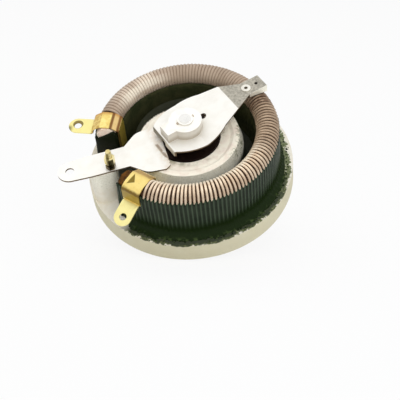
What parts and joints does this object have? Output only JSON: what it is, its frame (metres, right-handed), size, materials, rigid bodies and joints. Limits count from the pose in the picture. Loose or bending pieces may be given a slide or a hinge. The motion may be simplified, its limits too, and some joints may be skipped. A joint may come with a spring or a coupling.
{
  "type": "wirewound rheostat",
  "caption": "Round open ceramic power rheostat: wire wound on a ceramic ring under green enamel, swept by a pivoting spring arm, with a bushing and shaft for panel mounting.",
  "frame": {"origin": "centre of the ceramic base's panel face, on the shaft axis", "axes": "+Z along the shaft axis towards the winding, -X towards the middle terminal, the shaft's free end leaves towards -Z"},
  "size_m": [0.1252, 0.11, 0.0867],
  "materials": {
    "white_ceramic": "matt, slightly porous",
    "core_ceramic": "matt, pinkish",
    "coarse_wire": "oxidised resistance wire, warm",
    "fine_wire": "oxidised resistance wire, grey brown",
    "green_enamel": "glossy vitreous enamel",
    "brass": "plain",
    "nickel_plate": "satin nickel plate",
    "collector": "oxidised copper",
    "steel": "bright plated steel",
    "copper_plate": "copper flashed",
    "porcelain": "unglazed porcelain",
    "carbon": "metal graphite"
  },
  "bodies": {
    "body": {"ceramic_base": "white_ceramic", "winding_core": "core_ceramic", "winding_coarse": "coarse_wire", "winding_fine": "fine_wire", "enamel_jacket": "green_enamel", "end_strap_upper": "brass", "end_strap_lower": "brass", "middle_terminal": "nickel_plate", "terminal_stud": "brass", "terminal_nut": "brass", "terminal_sleeve": "brass", "collector_ring": "collector", "bushing": "steel", "locating_plate": "copper_plate", "mounting_nut": "brass", "lock_washer": "copper_plate"},
    "rotor": {"shaft": "steel", "retaining_ring": "steel", "cross_pin": "steel", "porcelain_hub": "porcelain", "contact_arm": "nickel_plate", "brush_eyelet": "nickel_plate", "contact_brush": "carbon", "centre_leaf": "nickel_plate", "centre_button": "carbon"}
  },
  "joints": [
    {"name": "shaft_turn", "type": "hinge", "parent": "body", "child": "rotor", "pos_m": [0, 0, 0], "axis": [0, 0, 1], "range_deg": [-141.7, 124.1]}
  ]
}
